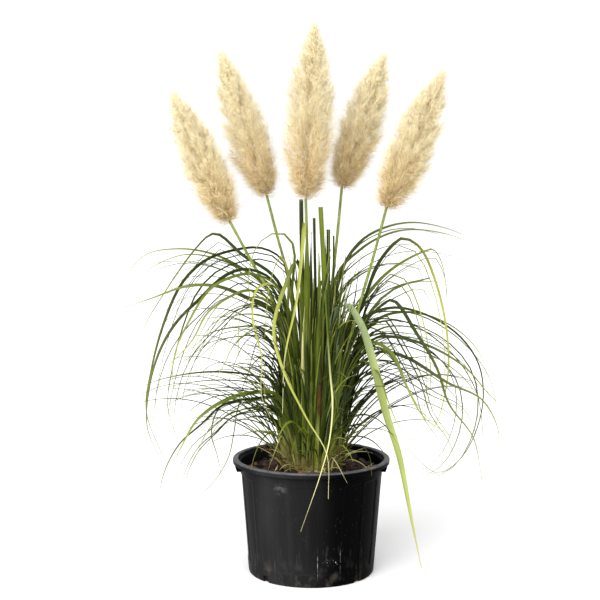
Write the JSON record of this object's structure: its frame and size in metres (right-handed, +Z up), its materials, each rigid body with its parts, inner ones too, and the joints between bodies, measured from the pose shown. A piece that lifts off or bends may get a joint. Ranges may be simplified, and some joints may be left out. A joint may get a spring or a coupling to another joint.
{
  "type": "potted pampas grass",
  "caption": "Pampas grass with cream plumes on slim green culms over a fountain of narrow arching leaves, growing in a round tapered black plastic nursery pot.",
  "frame": {"origin": "middle of the pot's flat base, on the surface that the pot stands on", "axes": "+Z up along the pot's axis; -Y is the front, which faces the camera in the picture; +X is to the right there"},
  "size_m": [0.725, 0.5822, 0.968],
  "materials": {
    "black_plastic": "moulded black polypropylene, satin, with dust and dried mud near the foot",
    "compost": "moist dark potting compost with bark chips",
    "culm_green": "smooth yellow-green living stem",
    "plume_cream": "soft cream silky hair",
    "leaf_dark_green": "dark green ribbed blade, satin",
    "leaf_mid_green": "mid green ribbed blade, satin",
    "leaf_yellow_green": "yellow-green fading blade, satin",
    "leaf_pale_straw": "pale dry blade, matt"
  },
  "bodies": {
    "root": {"pot": "black_plastic", "soil": "compost", "culm_1": "culm_green", "culm_2": "culm_green", "culm_3": "culm_green", "culm_4": "culm_green", "culm_5": "culm_green", "plume_1": "plume_cream", "plume_2": "plume_cream", "plume_3": "plume_cream", "plume_4": "plume_cream", "plume_5": "plume_cream", "leaf_left_1": "leaf_dark_green", "leaf_left_2": "leaf_mid_green", "leaf_left_3": "leaf_mid_green", "leaf_left_4": "leaf_dark_green", "leaf_left_5": "leaf_dark_green", "leaf_left_6": "leaf_dark_green", "leaf_left_7": "leaf_mid_green", "leaf_left_8": "leaf_mid_green", "leaf_left_9": "leaf_dark_green", "leaf_left_10": "leaf_dark_green", "leaf_left_11": "leaf_mid_green", "leaf_left_12": "leaf_yellow_green", "leaf_left_13": "leaf_yellow_green", "leaf_left_14": "leaf_yellow_green", "leaf_left_15": "leaf_mid_green", "leaf_left_16": "leaf_mid_green", "leaf_right_1": "leaf_dark_green", "leaf_right_2": "leaf_mid_green", "leaf_right_3": "leaf_dark_green", "leaf_right_4": "leaf_mid_green", "leaf_right_5": "leaf_dark_green", "leaf_right_6": "leaf_mid_green", "leaf_right_7": "leaf_dark_green", "leaf_right_8": "leaf_dark_green", "leaf_right_9": "leaf_mid_green", "leaf_right_10": "leaf_dark_green", "leaf_right_11": "leaf_dark_green", "leaf_right_12": "leaf_mid_green", "leaf_back_1": "leaf_dark_green", "leaf_back_2": "leaf_mid_green", "leaf_back_3": "leaf_mid_green", "leaf_back_4": "leaf_dark_green", "leaf_front_1": "leaf_pale_straw", "leaf_upright_1": "leaf_dark_green", "leaf_upright_2": "leaf_dark_green", "leaf_upright_3": "leaf_mid_green", "leaf_upright_4": "leaf_dark_green", "leaf_upright_5": "leaf_dark_green", "leaf_upright_6": "leaf_dark_green", "leaf_upright_7": "leaf_mid_green", "leaf_upright_8": "leaf_dark_green", "shoot_1": "leaf_mid_green", "shoot_2": "leaf_dark_green", "shoot_3": "leaf_dark_green", "shoot_4": "leaf_mid_green", "shoot_5": "leaf_mid_green", "shoot_6": "leaf_dark_green", "shoot_7": "leaf_dark_green"}
  },
  "joints": []
}
